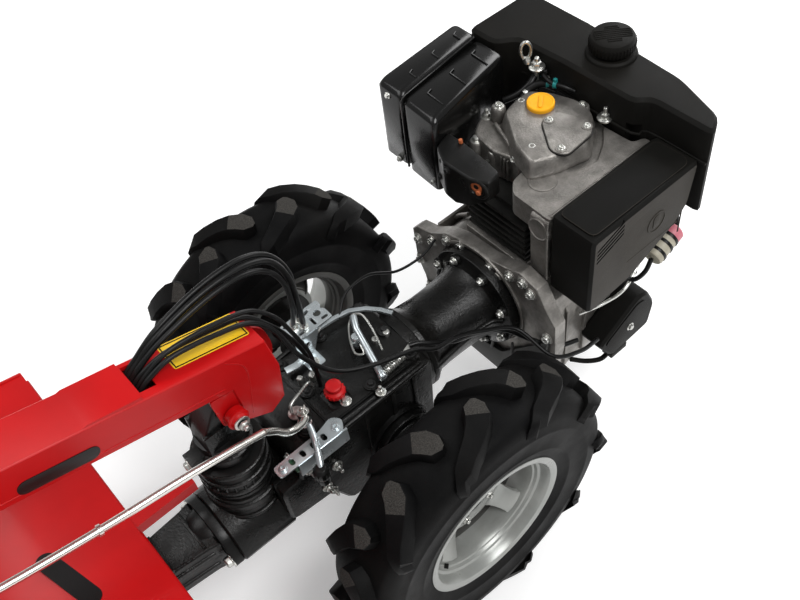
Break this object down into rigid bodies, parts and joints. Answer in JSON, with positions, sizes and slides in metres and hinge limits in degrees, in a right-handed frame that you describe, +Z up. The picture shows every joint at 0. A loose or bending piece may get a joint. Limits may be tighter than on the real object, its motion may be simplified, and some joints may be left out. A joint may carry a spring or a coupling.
{
  "type": "walking tractor",
  "caption": "Walk-behind tractor: upright single-cylinder engine ahead of a two-wheel transaxle, folded-sheet handlebar column and a rear rotary tiller on a depth skid.",
  "frame": {"origin": "centre of the footprint box on the ground", "axes": "+X forwards to the engine, +Y to the left, +Z up"},
  "size_m": [2.0118, 0.76, 1.0433],
  "materials": {
    "tyre": "matte",
    "rim_grey": "satin",
    "red_paint": "gloss",
    "black_paint": "satin",
    "black_casting": "satin",
    "grey_casting": "satin",
    "black_plastic": "matte",
    "gloss_black": "gloss",
    "zinc": "satin",
    "chrome_rod": "polished",
    "black_rubber": "matte",
    "orange_plastic": "gloss",
    "red_plastic": "satin",
    "worn_steel": "satin",
    "fins": "satin"
  },
  "bodies": {
    "chassis": {"crankcase": "grey_casting", "cylinder": "fins", "cylinder_head": "grey_casting", "rocker_cover": "grey_casting", "oil_cap": "orange_plastic", "intake_housing": "grey_casting", "air_filter_cover": "black_plastic", "fan_housing": "black_plastic", "fuel_tank": "black_plastic", "tank_cap": "black_plastic", "muffler": "gloss_black", "exhaust_shield": "black_paint", "regulator_box": "black_plastic", "bell_housing": "black_casting", "gearbox": "black_casting", "filler_cap": "red_plastic", "axle_housing_left": "black_casting", "axle_housing_right": "black_casting", "shift_gate": "zinc", "shift_lever": "black_paint", "cable_bracket": "zinc", "brake_lever": "zinc", "pto_coupling": "black_paint", "tiller_neck": "black_paint", "tiller_gearcase": "black_paint", "tiller_hood": "red_paint", "depth_skid": "black_paint", "shift_rod_end": "chrome_rod", "cable_1": "black_rubber", "cable_2": "black_rubber", "cable_3": "black_rubber"},
    "wheel_left": {"hub_left": "black_paint", "rim_left": "rim_grey", "tyre_left": "tyre"},
    "wheel_right": {"hub_right": "black_paint", "rim_right": "rim_grey", "tyre_right": "tyre"},
    "tiller_rotor": {"rotor": "worn_steel"},
    "flap": {"rear_flap": "red_paint"},
    "swivel": {"turret": "black_paint"},
    "handlebar_unit": {"column": "red_paint", "handlebar": "black_paint", "control_box": "black_plastic", "shift_rod": "chrome_rod", "grip_left": "black_rubber", "grip_right": "black_rubber", "hand_lever_left": "red_paint", "hand_lever_right": "red_paint"}
  },
  "joints": [
    {"name": "wheel_left_spin", "type": "hinge", "parent": "chassis", "child": "wheel_left", "pos_m": [0.35, 0.273, 0.272], "axis": [0, 1, 0], "continuous": true},
    {"name": "wheel_right_spin", "type": "hinge", "parent": "chassis", "child": "wheel_right", "pos_m": [0.35, -0.273, 0.272], "axis": [0, 1, 0], "continuous": true},
    {"name": "rotor_spin", "type": "hinge", "parent": "chassis", "child": "tiller_rotor", "pos_m": [-0.25, 0, 0.18], "axis": [0, 1, 0], "continuous": true},
    {"name": "flap_hinge", "type": "hinge", "parent": "chassis", "child": "flap", "pos_m": [-0.462, 0, 0.344], "axis": [0, 1, 0], "range_deg": [0, 60]},
    {"name": "handlebar_swivel", "type": "hinge", "parent": "chassis", "child": "swivel", "pos_m": [0.088, 0, 0.452], "axis": [0, 0, 1], "range_deg": [-15, 15], "deforming": ["cable_1", "cable_2", "cable_3", "shift_rod_end"]},
    {"name": "handlebar_height", "type": "hinge", "parent": "swivel", "child": "handlebar_unit", "pos_m": [0.107, 0, 0.552], "axis": [0, 1, 0], "range_deg": [-8, 18], "deforming": ["cable_1", "cable_2", "cable_3", "shift_rod"]}
  ]
}
